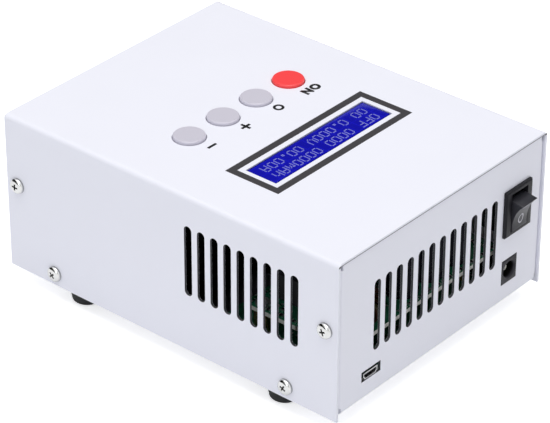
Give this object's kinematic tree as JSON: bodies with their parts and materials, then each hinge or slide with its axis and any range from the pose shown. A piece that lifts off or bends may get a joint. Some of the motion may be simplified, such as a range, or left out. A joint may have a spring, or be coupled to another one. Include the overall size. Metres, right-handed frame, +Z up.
{
  "type": "battery capacity tester",
  "caption": "Bench battery tester in a folded white steel case with a two-row blue display, push buttons, rocker switch, vents and a cooling fan.",
  "frame": {"origin": "middle of the object's box, at the underside of the feet", "axes": "+Z up, +Y towards the rear panel with the switch and the vents, +X to the right of a user who reads the display from the front"},
  "size_m": [0.1208, 0.1664, 0.0714],
  "materials": {
    "cover_coat": "fine textured white powder coat",
    "tray_coat": "fine textured white powder coat",
    "nickel_screws": "bright nickel plating",
    "zinc_screws": "bright zinc plating",
    "foot_rubber": "matt moulded rubber",
    "lcd_metal": "satin black",
    "lcd_blue": "blue display glass with a polariser",
    "lcd_diffuser": "white diffuser",
    "board_green": "green solder mask",
    "chip_black": "moulded epoxy",
    "steel_posts": "zinc plated",
    "switch_black": "moulded",
    "cap_red": "satin moulded red",
    "cap_grey": "satin moulded light grey",
    "brass_spacers": "turned brass",
    "socket_black": "moulded",
    "tinned_contacts": "tinned",
    "socket_steel": "drawn steel",
    "can_sleeve": "shrink sleeve",
    "box_grey": "moulded box",
    "core_yellow": "coated iron powder",
    "copper_wire": "enamelled copper",
    "shunt_alloy": "resistance alloy",
    "terminal_green": "moulded",
    "sink_black": "black anodised extrusion",
    "fan_black": "moulded",
    "guard_chrome": "plated wire",
    "rocker_black": "satin moulded",
    "socket_nickel": "nickel plated",
    "insert_brown": "moulded",
    "gold_pins": "plated",
    "lead_red": "silicone insulation",
    "lead_black": "silicone insulation",
    "ribbon_grey": "ribbed insulation"
  },
  "bodies": {
    "case": {"base_tray": "tray_coat", "top_cover": "cover_coat", "cover_screws": "nickel_screws", "rubber_feet": "foot_rubber", "foot_screws": "zinc_screws", "lcd_frame": "lcd_metal", "lcd_glass": "lcd_blue", "lcd_backlight": "lcd_diffuser", "lcd_board": "board_green", "lcd_driver_chips": "chip_black", "display_posts": "steel_posts", "display_screws": "zinc_screws", "key_board": "board_green", "push_switches": "switch_black", "control_board": "board_green", "control_standoffs": "brass_spacers", "board_screws": "zinc_screws", "control_chips": "chip_black", "power_inlet": "socket_black", "power_inlet_contacts": "tinned_contacts", "data_socket_shell": "socket_steel", "data_socket_tongue": "socket_black", "power_board": "board_green", "power_spacers": "brass_spacers", "power_screws": "zinc_screws", "capacitors": "can_sleeve", "film_capacitor": "box_grey", "inductor_core": "core_yellow", "inductor_winding": "copper_wire", "current_shunt": "shunt_alloy", "terminal_block": "terminal_green", "power_relay": "chip_black", "heatsink": "sink_black", "heatsink_screws": "zinc_screws", "power_transistors": "chip_black", "transistor_screws": "zinc_screws", "fan_frame": "fan_black", "fan_guard": "guard_chrome", "fan_screws": "zinc_screws", "switch_body": "rocker_black", "switch_tabs": "tinned_contacts", "battery_socket": "socket_nickel", "battery_socket_nut": "socket_nickel", "battery_socket_insert": "insert_brown", "battery_socket_pins": "gold_pins", "battery_lead_red": "lead_red", "battery_lead_black": "lead_black", "display_ribbon": "ribbon_grey"},
    "button_on": {"cap_on": "cap_red", "plunger_on": "switch_black"},
    "button_set": {"cap_set": "cap_grey", "plunger_set": "switch_black"},
    "button_plus": {"cap_plus": "cap_grey", "plunger_plus": "switch_black"},
    "button_minus": {"cap_minus": "cap_grey", "plunger_minus": "switch_black"},
    "rocker": {"switch_rocker": "rocker_black"},
    "rotor": {"fan_rotor": "fan_black"}
  },
  "joints": [
    {"name": "press_on", "type": "slide", "parent": "case", "child": "button_on", "axis": [0, 0, -1], "range_m": [0, 0.0005], "stiffness_N_per_m": 400, "springref_m": -0.001},
    {"name": "press_set", "type": "slide", "parent": "case", "child": "button_set", "axis": [0, 0, -1], "range_m": [0, 0.0005], "stiffness_N_per_m": 400, "springref_m": -0.001},
    {"name": "press_plus", "type": "slide", "parent": "case", "child": "button_plus", "axis": [0, 0, -1], "range_m": [0, 0.0005], "stiffness_N_per_m": 400, "springref_m": -0.001},
    {"name": "press_minus", "type": "slide", "parent": "case", "child": "button_minus", "axis": [0, 0, -1], "range_m": [0, 0.0005], "stiffness_N_per_m": 400, "springref_m": -0.001},
    {"name": "rocker_tilt", "type": "hinge", "parent": "case", "child": "rocker", "pos_m": [-0.0421, 0.0766, 0.0458], "axis": [1, 0, 0], "range_deg": [0, 39]},
    {"name": "fan_spin", "type": "hinge", "parent": "case", "child": "rotor", "pos_m": [0.024, -0.0699, 0.0351], "axis": [0, 1, 0], "continuous": true}
  ]
}
